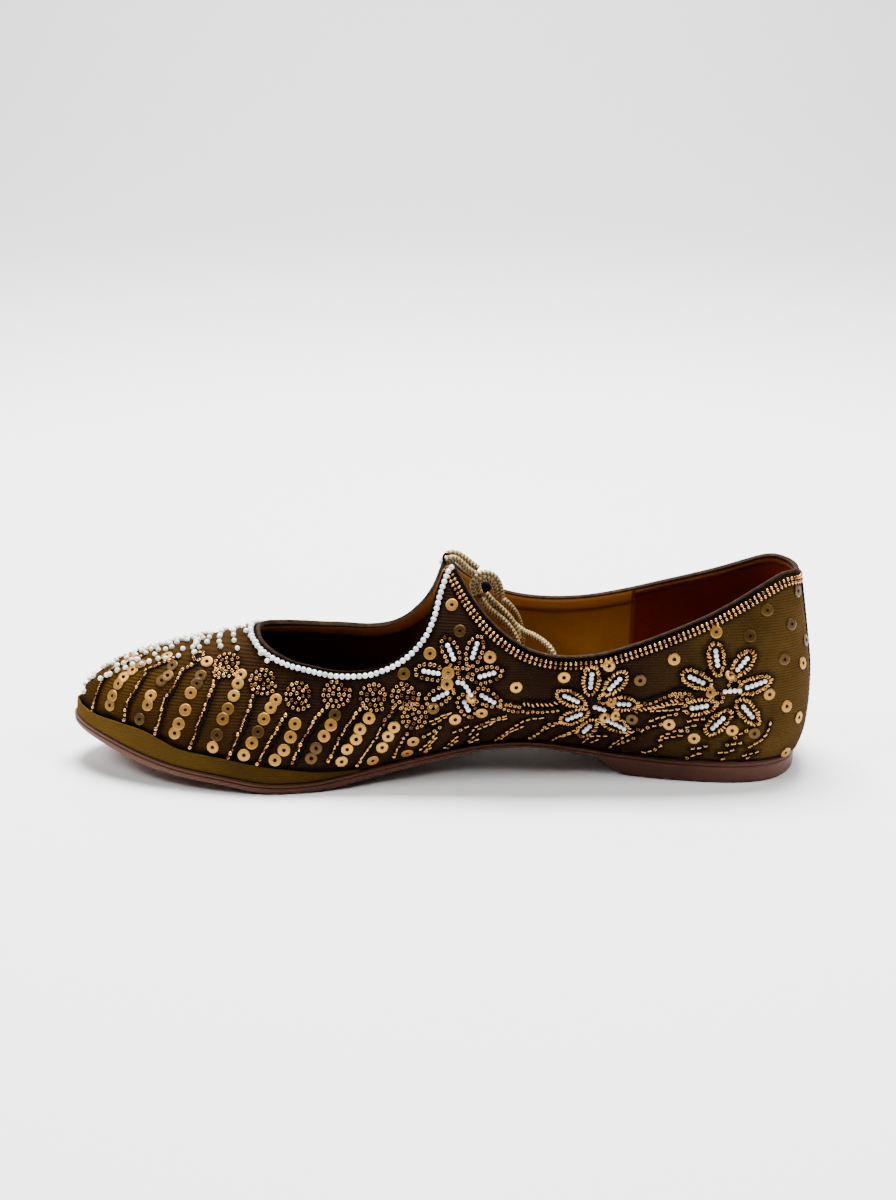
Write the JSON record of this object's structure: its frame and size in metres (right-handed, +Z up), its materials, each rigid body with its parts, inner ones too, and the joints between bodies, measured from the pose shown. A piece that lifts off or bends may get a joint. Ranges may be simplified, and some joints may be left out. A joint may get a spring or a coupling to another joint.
{
  "type": "bridal shoe",
  "caption": "Right embroidered bridal flat with an open throat, instep peaks joined by a braided tie, a stitched rand and a thin moulded sole with a low heel.",
  "frame": {"origin": "middle of the shoe's box at floor level, measured without the loose tie", "axes": "+X towards the toe, +Y towards the inner side of the foot, +Z up"},
  "size_m": [0.2644, 0.0768, 0.0764],
  "materials": {
    "sole_unit": "smooth moulded, slightly glossy, red-brown",
    "upper_cloth": "fine ribbed cloth, olive gold shaded to dark brown, sewn with beads and sequins",
    "rand_cloth": "plain folded cloth strip, olive gold",
    "lining_leather": "smooth soft leather, mustard tan",
    "braid": "metallic chain-braided cord, pale gold"
  },
  "bodies": {
    "root": {"outsole": "sole_unit", "upper": "upper_cloth", "rand": "rand_cloth", "insole": "lining_leather", "tie_bars": "braid", "tie_knot": "braid", "tie_loop": "braid", "tie_end_a": "braid", "tie_end_b": "braid"}
  },
  "joints": []
}
